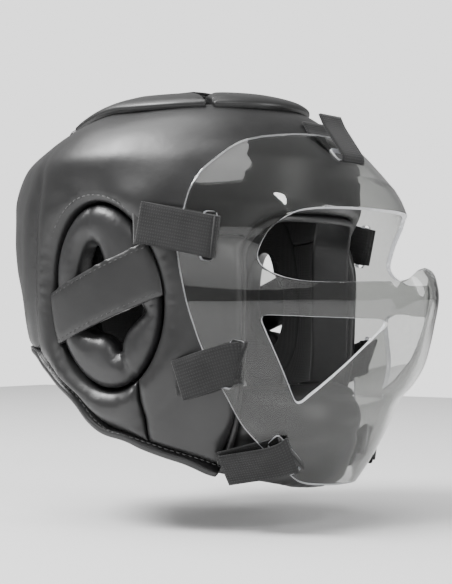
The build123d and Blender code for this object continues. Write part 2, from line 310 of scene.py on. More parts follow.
def fill_outline(loops, step, rows=EDGE_ROWS):
    """Triangulate a flat region, with rows of points along its edges.

    The first loop is its outline and the others are holes."""
    points, edges = [], []
    for loop in loops:
        first = len(points)
        points += [tuple(p) for p in loop]
        edges += [(first + i, first + (i + 1) % len(loop)) for i in range(len(loop))]
    flat = np.array(points)
    tree = kd_tree(flat)
    added = []
    taken = {}

    def free(p, gap):
        key = (int(p[0] // 2), int(p[1] // 2))
        for i in (-1, 0, 1):
            for j in (-1, 0, 1):
                for q in taken.get((key[0] + i, key[1] + j), ()):
                    if hypot(p[0] - q[0], p[1] - q[1]) < gap:
                        return False
        taken.setdefault(key, []).append(p)
        return True

    for depth in rows:
        for loop in loops:
            loop = np.asarray(loop, float)
            along = np.roll(loop, -1, 0) - np.roll(loop, 1, 0)
            along /= np.linalg.norm(along, axis=1, keepdims=True) + 1e-12
            normal = np.stack([-along[:, 1], along[:, 0]], 1)
            for sign in (1, -1):
                moved = loop + normal * depth * sign
                ok = within(loops, moved)
                for p in moved[ok]:
                    clear = tree.find((p[0], p[1], 0))[2] > depth * 0.85
                    if clear and free(p, min(0.75 * depth + 0.35, 1.6)):
                        added.append(tuple(p))
    lo, hi = flat.min(0), flat.max(0)
    grid = []
    row_gap = step * TRIANGLE_HIGH
    for j in range(int(ceil((hi[1] - lo[1]) / row_gap)) + 1):
        shift = step / 2 if j % 2 else 0.0
        for x in np.arange(lo[0] + shift, hi[0], step):
            grid.append((x, lo[1] + j * row_gap))
    grid = np.array(grid)
    grid = grid[within(loops, grid)]
    reach = (rows[-1] if rows else 0) + step * 0.5
    for p in grid:
        if tree.find((p[0], p[1], 0))[2] > reach and free(p, step * 0.5):
            added.append(tuple(p))
    made = delaunay_2d_cdt([Vector(p) for p in points + added], edges, [], 0, 1e-7)
    verts = np.array([tuple(v) for v in made[0]])
    faces = [tuple(f) for f in made[2]]
    middle = np.array([verts[list(f)].mean(0) for f in faces])
    keep = within(loops, middle)
    return verts, [f for f, k in zip(faces, keep) if k]


CHART_WIDE = 100.0   # mm of surface for one radian of the chart
SIDE_ANGLE = 1.2     # heights are measured along the surface at this angle
side_steps = np.diff(head_raw(np.full(len(FINE), SIDE_ANGLE), FINE), axis=0)
ARC = np.concatenate([[0], np.cumsum(np.linalg.norm(side_steps, axis=1))])


def to_chart(place):
    """Flat coordinates, in mm of surface, for a place (phi, t) on the body."""
    phi, t = place
    return np.stack([np.atleast_1d(phi) * CHART_WIDE, np.interp(np.atleast_1d(t), FINE, ARC)], 1)


def chart_phi_t(uv):
    return uv[:, 0] / CHART_WIDE, np.interp(uv[:, 1], ARC, FINE)


def border_edges(faces):
    """Directed edges that only one face has."""
    count = {}
    for f in faces:
        for i in range(len(f)):
            a, b = f[i], f[(i + 1) % len(f)]
            count[(a, b)] = count.get((a, b), 0) + 1
    return [(a, b) for (a, b) in count if (b, a) not in count]


def edge_distance(points3, border3):
    """Distance of each point from the nearest border point."""
    tree = kd_tree(border3)
    return np.array([tree.find(p)[2] for p in points3])


def pad_piece(name, loops, place, material, depth=(0.0, 20.0), edge=7.0, puff=0.0, step=3.0,
              relief=None, back_edge=3.0):
    """A stuffed closed panel over a flat outline. place(uv, inset) gives the points in space."""
    flat, faces = fill_outline(loops, step)
    border = border_edges(faces)
    rim = sorted({i for e in border for i in e})
    base = place(flat, np.full(len(flat), depth[0]))
    far = edge_distance(base, base[rim])
    near = np.clip(1 - far / edge, 0, 1)
    fall = edge * 0.62 * (1 - np.sqrt(np.clip(1 - near ** 2, 0, 1)))
    swell = puff * np.clip(far / (edge * 2.5), 0, 1) ** 0.6
    outer_inset = depth[0] + fall - swell
    if relief is not None:
        outer_inset = outer_inset + relief(base, far)
    near_back = np.clip(1 - far / back_edge, 0, 1)
    inner_inset = depth[1] - back_edge * 0.6 * (1 - np.sqrt(np.clip(1 - near_back ** 2, 0, 1)))
    outer = place(flat, outer_inset)
    inner = place(flat, inner_inset)
    n = len(flat)
    verts = np.vstack([outer, inner])
    all_faces = [tuple(f) for f in faces] + [tuple(i + n for i in reversed(f)) for f in faces]
    rings = 4
    ring_start = {}
    extra = []
    for i in rim:
        ring_start[i] = 2 * n + len(extra)
        for k in range(1, rings):
            s = k / rings
            extra.append(outer[i] * (1 - s) + inner[i] * s)
    verts = np.vstack([verts, np.array(extra)])

    def column(i):
        return [i] + [ring_start[i] + k for k in range(rings - 1)] + [i + n]
    for a, b in border:
        ca, cb = column(a), column(b)
        for k in range(rings):
            all_faces.append((cb[k], ca[k], ca[k + 1], cb[k + 1]))
    obj = new_object(name, verts, all_faces, material)
    return recalc(obj)


def head_place(uv, inset):
    phi, t = chart_phi_t(uv)
    return head_point(phi, t, inset)


def top_place(uv, inset):
    phi, t = from_top(uv[:, 0], uv[:, 1])
    return head_point(phi, t, inset)


def finish_piece(obj, body, *nodes, slot=None, subdiv=0, padded=None):
    """Smooth a piece, fix it to its body and hide the CAD parts it stands for."""
    if subdiv:
        obj.modifiers.new("smooth", "SUBSURF").levels = subdiv
        obj.modifiers["smooth"].render_levels = subdiv
    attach(obj, body)
    if nodes:
        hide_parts(*nodes)
    return obj


PRESSURE = 4.0
FRAMES = 16


def inflate(obj, cap):
    """Cloth under inner pressure, so that the skin strains and wrinkles. No point moves over cap mm."""
    before = np.empty(len(obj.data.vertices) * 3)
    obj.data.vertices.foreach_get("co", before)
    mod = obj.modifiers.new("air", "CLOTH")
    settings = mod.settings
    settings.quality = 4
    settings.mass = 0.3
    settings.tension_stiffness = settings.compression_stiffness = 20
    settings.shear_stiffness = 10
    settings.bending_stiffness = 1.0
    settings.use_pressure = True
    settings.uniform_pressure_force = PRESSURE
    settings.effector_weights.gravity = 0.0
    mod.collision_settings.use_collision = False
    scene = bpy.context.scene
    for f in range(1, FRAMES + 1):
        scene.frame_set(f)
    shaped = obj.evaluated_get(bpy.context.evaluated_depsgraph_get())
    mesh = shaped.to_mesh()
    after = np.empty(len(mesh.vertices) * 3)
    mesh.vertices.foreach_get("co", after)
    shaped.to_mesh_clear()
    obj.modifiers.remove(mod)
    scene.frame_set(1)
    move = (after - before).reshape(-1, 3)
    move = np.nan_to_num(move - move.mean(0))
    size = np.linalg.norm(move, axis=1, keepdims=True) + 1e-12
    limit = cap * MM
    move *= np.tanh(size / limit) * limit / size
    obj.data.vertices.foreach_set("co", before + move.ravel())
    obj.data.update()
    return obj


# ---------------------------------------------------------------- materials
def node_material(name):
    """A new material with its node tree and its shader."""
    mat = bpy.data.materials.new(name)
    mat.use_nodes = True
    tree = mat.node_tree
    shader = tree.nodes["Principled BSDF"]
    return mat, tree, shader


def add(tree, kind, **settings):
    """A new node; settings name its inputs or its own properties."""
    node = tree.nodes.new(kind)
    for key, value in settings.items():
        if key in node.inputs:
            node.inputs[key].default_value = value
        else:
            setattr(node, key, value)
    return node


def noise(tree, coords, scale, detail=3.0, rough=0.5):
    node = add(tree, "ShaderNodeTexNoise", Scale=scale, Detail=detail, Roughness=rough)
    tree.links.new(coords, node.inputs["Vector"])
    return node.outputs["Fac"]


def spread(tree, source, low, high, from_low=0.3, from_high=0.7):
    """Map a value to the range from low to high."""
    node = add(tree, "ShaderNodeMapRange")
    node.inputs["From Min"].default_value = from_low
    node.inputs["From Max"].default_value = from_high
    node.inputs["To Min"].default_value = low
    node.inputs["To Max"].default_value = high
    tree.links.new(source, node.inputs["Value"])
    return node.outputs["Result"]


def tint(tree, source, low, high):
    """A colour between two, picked by a value."""
    node = add(tree, "ShaderNodeMix", data_type="RGBA")
    node.inputs[6].default_value = (*low, 1)
    node.inputs[7].default_value = (*high, 1)
    tree.links.new(source, node.inputs[0])
    return node.outputs[2]


def bump(tree, height, distance, strength=1.0, before=None):
    node = add(tree, "ShaderNodeBump", Distance=distance, Strength=strength)
    tree.links.new(height, node.inputs["Height"])
    if before is not None:
        tree.links.new(before, node.inputs["Normal"])
    return node.outputs["Normal"]


def leather(name, dark, light, rough=(0.36, 0.5), grain=1.0, creases=0.6):
    """Artificial leather: fine pebbled grain, slow creases, faint rubbed patches."""
    mat, tree, shader = node_material(name)
    coords = add(tree, "ShaderNodeTexCoord").outputs["Object"]
    cells = add(tree, "ShaderNodeTexVoronoi", feature="DISTANCE_TO_EDGE", Scale=950.0)
    tree.links.new(coords, cells.inputs["Vector"])
    pebbles = spread(tree, cells.outputs["Distance"], 0.0, 1.0, 0.0, 0.35)
    slow = noise(tree, coords, 38.0, 3.0, 0.55)
    wrinkle = noise(tree, coords, 120.0, 4.0, 0.6)
    rubbed = noise(tree, coords, 16.0, 5.0, 0.65)
    colour = tint(tree, spread(tree, rubbed, 0.0, 1.0, 0.35, 0.75), dark, light)
    tree.links.new(colour, shader.inputs["Base Color"])
    tree.links.new(spread(tree, slow, rough[0], rough[1]), shader.inputs["Roughness"])
    n = bump(tree, slow, 0.0016, 0.35 * creases)
    n = bump(tree, wrinkle, 0.0004, 0.5 * creases, n)
    n = bump(tree, pebbles, 0.00003, 0.3 * grain, n)
    tree.links.new(n, shader.inputs["Normal"])
    shader.inputs["Specular IOR Level"].default_value = 0.55
    shader.inputs["Coat Weight"].default_value = 0.12
    shader.inputs["Coat Roughness"].default_value = 0.32
    return mat


def cloth(name, dark, light, pitch, rough=0.9, sheen=0.3):
    """Knitted or brushed cloth: crossed threads over a soft nap."""
    mat, tree, shader = node_material(name)
    coords = add(tree, "ShaderNodeTexCoord").outputs["Object"]
    heights = []
    for direction in ("X", "Z"):
        wave = add(tree, "ShaderNodeTexWave", wave_type="BANDS", bands_direction=direction,
                   Scale=1.0 / pitch / 6.2, Distortion=0.6, Detail=1.0)
        tree.links.new(coords, wave.inputs["Vector"])
        heights.append(wave.outputs["Fac"])
    both = add(tree, "ShaderNodeMath", operation="MAXIMUM")
    tree.links.new(heights[0], both.inputs[0])
    tree.links.new(heights[1], both.inputs[1])
    nap = noise(tree, coords, 900.0, 3.0, 0.7)
    colour = tint(tree, spread(tree, nap, 0.0, 1.0), dark, light)
    tree.links.new(colour, shader.inputs["Base Color"])
    n = bump(tree, both.outputs[0], pitch * 0.25, 0.6)
    n = bump(tree, nap, 0.0002, 0.5, n)
    tree.links.new(n, shader.inputs["Normal"])
    shader.inputs["Roughness"].default_value = rough
    shader.inputs["Sheen Weight"].default_value = sheen
    shader.inputs["Sheen Roughness"].default_value = 0.45
    return mat


def webbing_material(name, dark, light):
    """Hook-and-loop tape: ribs across the strip and tiny hooks. Uses the strip's UV, in mm."""
    mat, tree, shader = node_material(name)
    coords = add(tree, "ShaderNodeTexCoord")
    uv = coords.outputs["UV"]
    weave = add(tree, "ShaderNodeMath", operation="MULTIPLY")
    for i, (direction, scale) in enumerate((("Y", 0.16), ("X", 0.2))):
        wave = add(tree, "ShaderNodeTexWave", wave_type="BANDS", bands_direction=direction, Scale=scale,
                   Distortion=0.4, Detail=1.0)
        tree.links.new(uv, wave.inputs["Vector"])
        tree.links.new(wave.outputs["Fac"], weave.inputs[i])
    fuzz = noise(tree, coords.outputs["Object"], 1400.0, 3.0, 0.7)
    slow = noise(tree, coords.outputs["Object"], 60.0, 3.0, 0.6)
    blend = add(tree, "ShaderNodeMath", operation="MULTIPLY_ADD")
    tree.links.new(weave.outputs[0], blend.inputs[0])
    blend.inputs[1].default_value = 0.6
    tree.links.new(spread(tree, slow, 0.0, 0.5), blend.inputs[2])
    tree.links.new(tint(tree, blend.outputs[0], dark, light), shader.inputs["Base Color"])
    n = bump(tree, weave.outputs[0], 0.0003, 0.7)
    n = bump(tree, fuzz, 0.0002, 0.6, n)
    tree.links.new(n, shader.inputs["Normal"])
    shader.inputs["Roughness"].default_value = 0.88
    shader.inputs["Specular IOR Level"].default_value = 0.3
    shader.inputs["Sheen Weight"].default_value = 0.12
    shader.inputs["Sheen Roughness"].default_value = 0.5
    return mat


def thread_material(name, dark, light):
    """Twisted sewing thread."""
    mat, tree, shader = node_material(name)
    coords = add(tree, "ShaderNodeTexCoord").outputs["Object"]
    twist = add(tree, "ShaderNodeTexWave", bands_direction="DIAGONAL", Scale=420.0, Distortion=1.0)
    tree.links.new(coords, twist.inputs["Vector"])
    tree.links.new(tint(tree, twist.outputs["Fac"], dark, light), shader.inputs["Base Color"])
    tree.links.new(bump(tree, twist.outputs["Fac"], 0.0001, 0.8), shader.inputs["Normal"])
    shader.inputs["Roughness"].default_value = 0.6
    shader.inputs["Sheen Weight"].default_value = 0.2
    return mat


def polycarbonate(name):
    """Clear, faintly smoky plastic with hand marks in its polish."""
    mat, tree, shader = node_material(name)
    coords = add(tree, "ShaderNodeTexCoord").outputs["Object"]
    smears = noise(tree, coords, 26.0, 6.0, 0.7)
    fine = noise(tree, coords, 300.0, 3.0, 0.6)
    tree.links.new(spread(tree, smears, 0.015, 0.09, 0.45, 0.8), shader.inputs["Roughness"])
    tree.links.new(tint(tree, spread(tree, fine, 0.0, 1.0), (0.47, 0.475, 0.465), (0.505, 0.51, 0.50)),
                   shader.inputs["Base Color"])
    ripple = noise(tree, coords, 18.0, 2.0, 0.5)
    tree.links.new(bump(tree, ripple, 0.002, 0.12), shader.inputs["Normal"])
    shader.inputs["Transmission Weight"].default_value = 1.0
    shader.inputs["IOR"].default_value = 1.50
    return mat



def edge_painted_highlight(name):
    """The shield's cut and flame-polished edges, with a painted highlight: a pale, partly opaque colour
    stands in for the light they gather from the sheet.
    """
    mat, tree, shader = node_material(name)
    coords = add(tree, "ShaderNodeTexCoord").outputs["Object"]
    marks = noise(tree, coords, 140.0, 4.0, 0.6)
    tree.links.new(spread(tree, marks, 0.12, 0.3), shader.inputs["Roughness"])
    # painted highlight: the edges are coloured pale, not clear
    tree.links.new(tint(tree, spread(tree, marks, 0.0, 1.0), (0.74, 0.75, 0.78), (0.86, 0.87, 0.90)),
                   shader.inputs["Base Color"])
    tree.links.new(bump(tree, marks, 0.0004, 0.3), shader.inputs["Normal"])
    shader.inputs["Transmission Weight"].default_value = 0.3
    shader.inputs["IOR"].default_value = 1.5
    return mat


LEATHER = leather("leather_black", (0.011, 0.011, 0.0112), (0.020, 0.020, 0.0202), rough=(0.34, 0.46))
LEATHER_SHINY = leather("leather_black_soft", (0.011, 0.011, 0.0115), (0.022, 0.022, 0.0225),
                        rough=(0.33, 0.45), grain=0.8, creases=1.2)
TAPE = leather("binding_tape", (0.010, 0.010, 0.0105), (0.021, 0.021, 0.0215), rough=(0.4, 0.52))
LINING_CLOTH = cloth("lining_cloth", (0.004, 0.004, 0.0041), (0.009, 0.009, 0.0092), 0.0009, sheen=0.05)
WEBBING = webbing_material("hook_webbing", (0.014, 0.014, 0.0143), (0.031, 0.031, 0.0315))
LOOP = cloth("loop_pile", (0.012, 0.012, 0.012), (0.03, 0.03, 0.0305), 0.0006, sheen=0.5)
THREAD = thread_material("thread_grey", (0.05, 0.05, 0.05), (0.11, 0.11, 0.11))
THREAD_DARK = thread_material("thread_dark", (0.012, 0.012, 0.012), (0.03, 0.03, 0.03))
CLEAR = polycarbonate("polycarbonate_clear")
# the shield's edges: a painted highlight in a pale colour
CLEAR_EDGE_PAINTED_HIGHLIGHT = edge_painted_highlight("polycarbonate_edge_painted_highlight")


# ---------------------------------------------------------------- outlines on the body
# the lower edge in side view, as (y, z)
BOTTOM = spline([(130, 97), (60, 95), (38, 87), (22, 76), (8, 66), (-2, 53), (-12, 46), (-30, 41),
                 (-50, 34), (-64, 29), (-84, 20), (-130, 8)], 1.0)


def bottom_z(y):
    return np.interp(-np.asarray(y, float), -BOTTOM[:, 0], BOTTOM[:, 1])


def side_line(side, points):
    """Chart points of a line drawn in side view."""
    p = np.asarray(points, float)
    return to_chart(from_side(side, p[:, 0], p[:, 1]))


def front_line(points):
    p = np.asarray(points, float)
    return to_chart(from_front(p[:, 0], p[:, 1]))


def ear_ellipse(size, a0, a1, step=2.2):
    """Arc of an ellipse round the ear, in side view; angle 0 is the back, 90 the top."""
    count = max(3, int(abs(a1 - a0) / 180 * pi * max(size) / step))
    a = np.radians(np.linspace(a0, a1, count + 1))
    u, v = size[0] * np.cos(a), size[1] * np.sin(a)
    lean = radians(EAR_LEAN)
    return np.stack([EAR[0] + u * cos(lean) + v * sin(lean), EAR[1] - u * sin(lean) + v * cos(lean)], 1)


def round_polygon(corners, radius, step=1.6):
    """A closed polygon with rounded corners."""
    corners = [np.array(c, float) for c in corners]
    out = []
    for i, p in enumerate(corners):
        a, b = corners[i - 1], corners[(i + 1) % len(corners)]
        ua, ub = (a - p) / np.linalg.norm(a - p), (b - p) / np.linalg.norm(b - p)
        half = np.arccos(np.clip(ua @ ub, -1, 1)) / 2
        reach = radius / np.tan(half)
        p0, p1 = p + ua * reach, p + ub * reach
        for s in np.linspace(0, 1, 7):
            out.append((1 - s) ** 2 * p0 + 2 * s * (1 - s) * p + s * s * p1)
    out = np.array(out + [out[0]])
    return clean(evenly(out, step), 0.6)


def clean(loop, gap=0.7):
    """Drop points closer than gap to the one before."""
    out = [loop[0]]
    for p in loop[1:]:
        if hypot(*(p - out[-1])) > gap:
            out.append(p)
    if hypot(*(out[0] - out[-1])) < gap:
        out.pop()
    return np.array(out)


def straight(a, b, step=2.5):
    """Points of a straight line, both ends included."""
    a, b = np.asarray(a, float), np.asarray(b, float)
    count = max(1, int(np.linalg.norm(b - a) / step))
    return a + (b - a) * np.linspace(0, 1, count + 1)[:, None]


def face_edge_points(side, z0, grow=0.0):
    """Edge of the face opening from height z0 up to the middle of the brow, in front view."""
    half = FACE_HALF + grow
    corner = FACE_CORNER + grow
    upright = straight((side * half, z0), (side * half, BROW + grow - corner))
    arc = [(side * (half - corner + corner * cos(a)), BROW + grow - corner + corner * sin(a))
           for a in np.linspace(0, pi / 2, 14)]
    flat = straight((side * (half - corner), BROW + grow), (0, BROW + grow))
    return np.vstack([upright[:-1], arc[:-1], flat])


def crown_arc(size, a0, a1, step=2.5):
    """Arc of a plan ellipse, angle 0 is the face side, positive towards -X."""
    count = max(3, int(abs(a1 - a0) / 180 * pi * max(size) / step))
    a = np.radians(np.linspace(a0, a1, count + 1))
    return np.stack([-size[0] * np.sin(a), CROWN_CENTRE - size[1] * np.cos(a)], 1)


def top_line(points):
    return to_chart(from_top(points[:, 0], points[:, 1]))


ring = ear_ellipse(EAR_SIZE, 0, 360, 0.2)
ring_angle = np.linspace(0, 360, len(ring))


def ring_crossings(axis, value):
    """Angles where the recess crosses a line of constant y (axis 0) or z (axis 1)."""
    gap = ring[:, axis] - value
    hits = np.where(gap[:-1] * gap[1:] <= 0)[0]
    return sorted(float(ring_angle[i]) for i in hits)


def lower_edge_level(p, z, share, rounds):
    """Level of the pads' lower edge at chart angle p. It starts from height z and closes in on the edge."""
    for _ in range(rounds):
        reach = float(head_back(level_of(z))) if cos(p) < 0 else float(head_front(level_of(z)))
        z = (1 - share) * z + share * (float(bottom_z(-reach * cos(p))) + TAPE_HIGH)
    return float(level_of(z))


def face_corner_y(seam):
    """Where a seam at this height meets the binding of the face opening."""
    t = level_of(seam)
    return -float(head_front(t)) * sqrt(1 - ((FACE_HALF + TAPE_HIGH) / float(head_half(t))) ** 2)


def half_panel(side):
    """Edge of the head panel on one side, from the top of the rear gap round to the middle of the brow."""
    gap = REAR_GAP / 2
    edge_y = CROWN_CENTRE + CROWN_HOLE[1] * sqrt(1 - (gap / CROWN_HOLE[0]) ** 2)
    z_gap = float(head_z(from_top([side * gap], [edge_y])[1])[0])
    z_rear = float(bottom_z(118)) + TAPE_HIGH
    t = level_of(np.arange(z_gap, z_rear, -2.5))
    rear = to_chart((-side * (pi - np.arcsin(np.clip(gap / head_half(t), 0, 1))), t))
    t_end = level_of(z_rear)
    front = SEAM_CHEEK + JOIN
    z_front = float(bottom_z(front)) + TAPE_HIGH
    first = pi - float(np.arcsin(gap / head_half(t_end)))
    last = abs(float(from_side(side, front, z_front)[0]))
    low = np.array([(-side * p, lower_edge_level(p, z_rear, 0.6, 14)) for p in np.linspace(first, last, 110)])
    seam = SEAM_BROW + JOIN
    start = ring_crossings(0, front)[-1]
    stop = ring_crossings(1, seam)[-1]
    arc = ear_ellipse(EAR_SIZE, start, 360 + stop)
    up = side_line(side, straight((front, z_front), arc[0]))
    along = side_line(side, straight(arc[-1], (face_corner_y(seam), seam)))
    brow = front_line(face_edge_points(side, seam, TAPE_HIGH))
    return np.vstack([rear, to_chart((low[:, 0], low[:, 1]))[1:-1], up[:-1], side_line(side, arc)[:-1],
                      along[:-1], brow])


def panel_loop():
    """Outline of the head panel: both sides and the crown opening, in one loop."""
    right, left = half_panel(RIGHT), half_panel(LEFT)
    end = 180 - np.degrees(np.arcsin(REAR_GAP / 2 / CROWN_HOLE[0]))
    crown_edge = top_line(crown_arc(CROWN_HOLE, -end, end))
    return clean(np.vstack([right, left[::-1][1:], crown_edge[1:-1]]))


def cheek_loop(side):
    """Outline of a cheek pad: ear recess, side seam, lower edge, face opening and brow seam."""
    seam = SEAM_BROW - JOIN
    rear = SEAM_CHEEK - JOIN
    arc = ear_ellipse(EAR_SIZE, ring_crossings(1, seam)[-1], ring_crossings(0, rear)[-1])
    bottom_y = np.arange(rear, -130, -2.5)
    z_low = bottom_z(bottom_y) + TAPE_HIGH
    t = level_of(z_low)
    x_at = head_half(t) * np.sqrt(np.clip(1 - (bottom_y / head_front(t)) ** 2, 0, 1))
    keep = x_at > FACE_HALF + TAPE_HIGH + 1.0
    low = np.stack([bottom_y, z_low], 1)[keep]
    face_low = low[-1][1] - 1.0
    front = front_line(face_edge_points(side, face_low, TAPE_HIGH))
    limit = to_chart(from_front(0, seam))[0][1]
    front = front[front[:, 1] < limit]
    top = side_line(side, straight((face_corner_y(seam), seam), (arc[0][0], seam)))
    down = side_line(side, straight(arc[-1], (rear, low[0][1])))
    loop = np.vstack([side_line(side, arc), down[1:-1], side_line(side, low), front, top])
    return clean(loop)


# ---------------------------------------------------------------- padded body
def around_ear(y, z):
    """Distance outside the ear recess, and the angle round it."""
    lean = radians(EAR_LEAN)
    u = (y - EAR[0]) * cos(lean) - (z - EAR[1]) * sin(lean)
    v = (y - EAR[0]) * sin(lean) + (z - EAR[1]) * cos(lean)
    r = np.hypot(u / EAR_SIZE[0], v / EAR_SIZE[1])
    return (r - 1) * np.hypot(u, v) / np.maximum(r, 0.1), np.arctan2(v, u)


def stuffing(base, far):
    """What the padding does to the skin, as an inset: dents, creases, and the rolls round the ear."""
    x, y, z = base.T
    slow = 0.7 * np.sin(x * 0.055 + 1.3) * np.sin(y * 0.06 + z * 0.045)
    slow = slow + 0.35 * np.sin(z * 0.11 + y * 0.07) * np.clip(far / 12, 0, 1)
    # the side seam leans back as it goes down
    seam_y = SEAM_REAR + 3.0 + 0.10 * (190 - z)
    crease = 2.4 * hump(y - seam_y, 3.6) * ramp(205 - z, 8)
    beside = -1.0 * hump(np.abs(y - seam_y) - 11, 7.0) * ramp(200 - z, 10)
    away, angle = around_ear(y, z)
    below = np.clip(-np.sin(angle), 0, 1)
    roll = -2.2 * hump(away - 9, 6.5) * below
    under = 1.6 * hump(away - 21, 5.0) * below ** 2
    above = -1.2 * hump(away - 12, 8.0) * np.clip(np.sin(angle), 0, 1)
    gathers = 0.12 * np.sin(angle * 38 + np.sin(angle * 9) * 1.5) * hump(away - 4, 4.0)
    dent = 2.4 * hump(z - 197, 9.0) * hump(y - 8, 34.0)
    shoulder = -1.8 * hump(z - 215, 9.0) * hump(y - 6, 42.0)
    side_only = np.clip((np.abs(x) - 30) / 30, 0, 1)
    cheek = -7.0 * hump(np.abs(x) - FACE_HALF, 13.0) * np.clip((-y - 45) / 20, 0, 1)
    cheek = cheek * ramp(z - 52, 6) * ramp(158 - z, 4)
    return slow + cheek + crease + beside + (roll + under + above + gathers + dent + shoulder) * side_only


def body_pad(name, loop, nodes, edge=7.0, puff=1.2, step=3.0):
    """A stuffed leather panel and its lining, which stand for the named CAD pads."""
    cover = pad_piece(name, [loop], head_place, LEATHER, depth=(0.0, PAD - PAD_LINING - 0.1), edge=edge,
                      puff=puff, relief=stuffing, step=step)
    hidden = [f"{n}_{part}" for n in nodes for part in ("cover", "foam")]
    finish_piece(cover, "shell", *hidden, slot="leather", subdiv=1, padded=0.85)
    inner = pad_piece(f"{name}_lining", [loop], head_place, LINING_CLOTH, depth=(PAD - PAD_LINING, PAD),
                      edge=2.0, step=6.0, back_edge=2.0)
    finish_piece(inner, "shell", *[f"{n}_lining" for n in nodes], slot="lining_fabric", subdiv=1)


body_pad("head_panel", panel_loop(),
         ["forehead", "ear_side_right", "ear_side_left", "back_right", "back_left"],
         edge=8.0, puff=1.4, step=3.4)
for side, word in SIDES:
    body_pad(f"cheek_pad_{word}", cheek_loop(side), [f"cheek_{word}"])


# ---------------------------------------------------------------- tubes, tapes, webbing and stitches
def sweep(name, path, across, profile, material, uv=False):
    """Sweep a closed profile (across, out) along a path. across is the profile's first direction."""
    path = np.asarray(path, float)
    across = np.asarray(across, float)
    along = np.gradient(path, axis=0)
    along /= np.linalg.norm(along, axis=1, keepdims=True)
    if across.ndim == 1:
        across = np.tile(across, (len(path), 1))
    across = across - along * (across * along).sum(1, keepdims=True)
    across /= np.linalg.norm(across, axis=1, keepdims=True)
    out = np.cross(across, along)
    prof = np.asarray(profile, float)
    m, n = len(prof), len(path)
    verts = path[:, None] + across[:, None] * prof[None, :, :1] + out[:, None] * prof[None, :, 1:2]
    verts = verts.reshape(-1, 3)
    faces = []
    for i in range(n - 1):
        for k in range(m):
            q = (k + 1) % m
            faces.append((i * m + k, i * m + q, (i + 1) * m + q, (i + 1) * m + k))
    faces.append(tuple(reversed(range(m))))
    faces.append(tuple((n - 1) * m + k for k in range(m)))
    obj = new_object(name, verts, faces, material)
    if uv:
        layer = obj.data.uv_layers.new(name="UVMap")
        lengths = np.concatenate([[0], np.cumsum(np.linalg.norm(np.diff(path, axis=0), axis=1))])
        for poly in obj.data.polygons:
            for li in poly.loop_indices:
                vi = obj.data.loops[li].vertex_index
                layer.data[li].uv = (lengths[vi // m], prof[vi % m][0])
    return recalc(obj)


def rounded_bar(width, thick, corner, seg=4):
    """A flat bar's section with rounded corners."""
    pts = []
    flat_x, flat_y = width / 2 - corner, thick / 2 - corner
    for cx, cy, a0 in ((1, 1, 0), (-1, 1, 90), (-1, -1, 180), (1, -1, 270)):
        for k in range(seg + 1):
            a = radians(a0 + 90 * k / seg)
            pts.append((cx * flat_x + corner * cos(a), cy * flat_y + corner * sin(a)))
    out = []
    for i, p in enumerate(pts):
        q = pts[(i + 1) % len(pts)]
        out.append(p)
        gap = hypot(q[0] - p[0], q[1] - p[1])
        for k in range(1, int(gap / 4) + 1):
            s = k / (int(gap / 4) + 1)
            out.append((p[0] * (1 - s) + q[0] * s, p[1] * (1 - s) + q[1] * s))
    return out


def stitches(name, paths, body, material=THREAD, length=2.6, gap=1.2, radius=0.34, lift=0.05):
    """Rows of short sunk thread loops. Each path is (points, outward normals) in mm."""
    verts, faces = [], []
    around = 6
    profile_steps = 5
    for points, normals in paths:
        points = np.asarray(points, float)
        run = np.concatenate([[0], np.cumsum(np.linalg.norm(np.diff(points, axis=0), axis=1))])
        total = run[-1]
        count = int(total // (length + gap))
        if count < 1:
            continue
        pitch = total / count

        def at(s, source):
            return np.array([np.interp(s, run, source[:, k]) for k in range(3)])
        for c in range(count):
            s0 = c * pitch + gap / 2
            ring0 = None
            for k in range(profile_steps):
                f = k / (profile_steps - 1)
                p = at(s0 + f * (pitch - gap), points)
                n = at(s0 + f * (pitch - gap), np.asarray(normals, float))
                n /= np.linalg.norm(n) + 1e-9
                d = at(min(total, s0 + f * pitch + 0.5), points) - at(max(0, s0 + f * pitch - 0.5), points)
                d /= np.linalg.norm(d) + 1e-9
                b = np.cross(n, d)
                rise = sin(pi * f)
                r = radius * (0.55 + 0.45 * rise)
                centre = p + n * (lift + radius * (rise * 1.1 - 0.75))
                start = len(verts)
                for j in range(around):
                    a = 2 * pi * j / around
                    verts.append(centre + b * r * cos(a) + n * r * 0.8 * sin(a))
                if ring0 is not None:
                    for j in range(around):
                        q = (j + 1) % around
                        faces.append((ring0 + j, ring0 + q, start + q, start + j))
                else:
                    faces.append(tuple(start + j for j in reversed(range(around))))
                ring0 = start
            faces.append(tuple(ring0 + j for j in range(around)))
    obj = new_object(name, np.array(verts), faces, material)
    recalc(obj)
    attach(obj, body)
    return obj


def head_row(places, inset):
    """Points and outward normals on the body along chart places."""
    phi, t = places
    outer = head_point(phi, t, inset)
    deep = head_point(phi, t, inset + 1.0)
    return outer, outer - deep


def bottom_path(side):
    """Chart places along the lower edge, from the rear gap forwards to the face opening."""
    route = []
    for p in np.linspace(pi - REAR_GAP / 2 / 98.0, 0.55, 170):
        t = lower_edge_level(p, 60.0, 0.5, 12)
        if cos(p) > 0 and float(head_half(t)) * sin(p) < FACE_HALF + 1.0:
            break
        route.append((-side * p, t))
    return np.array(route)


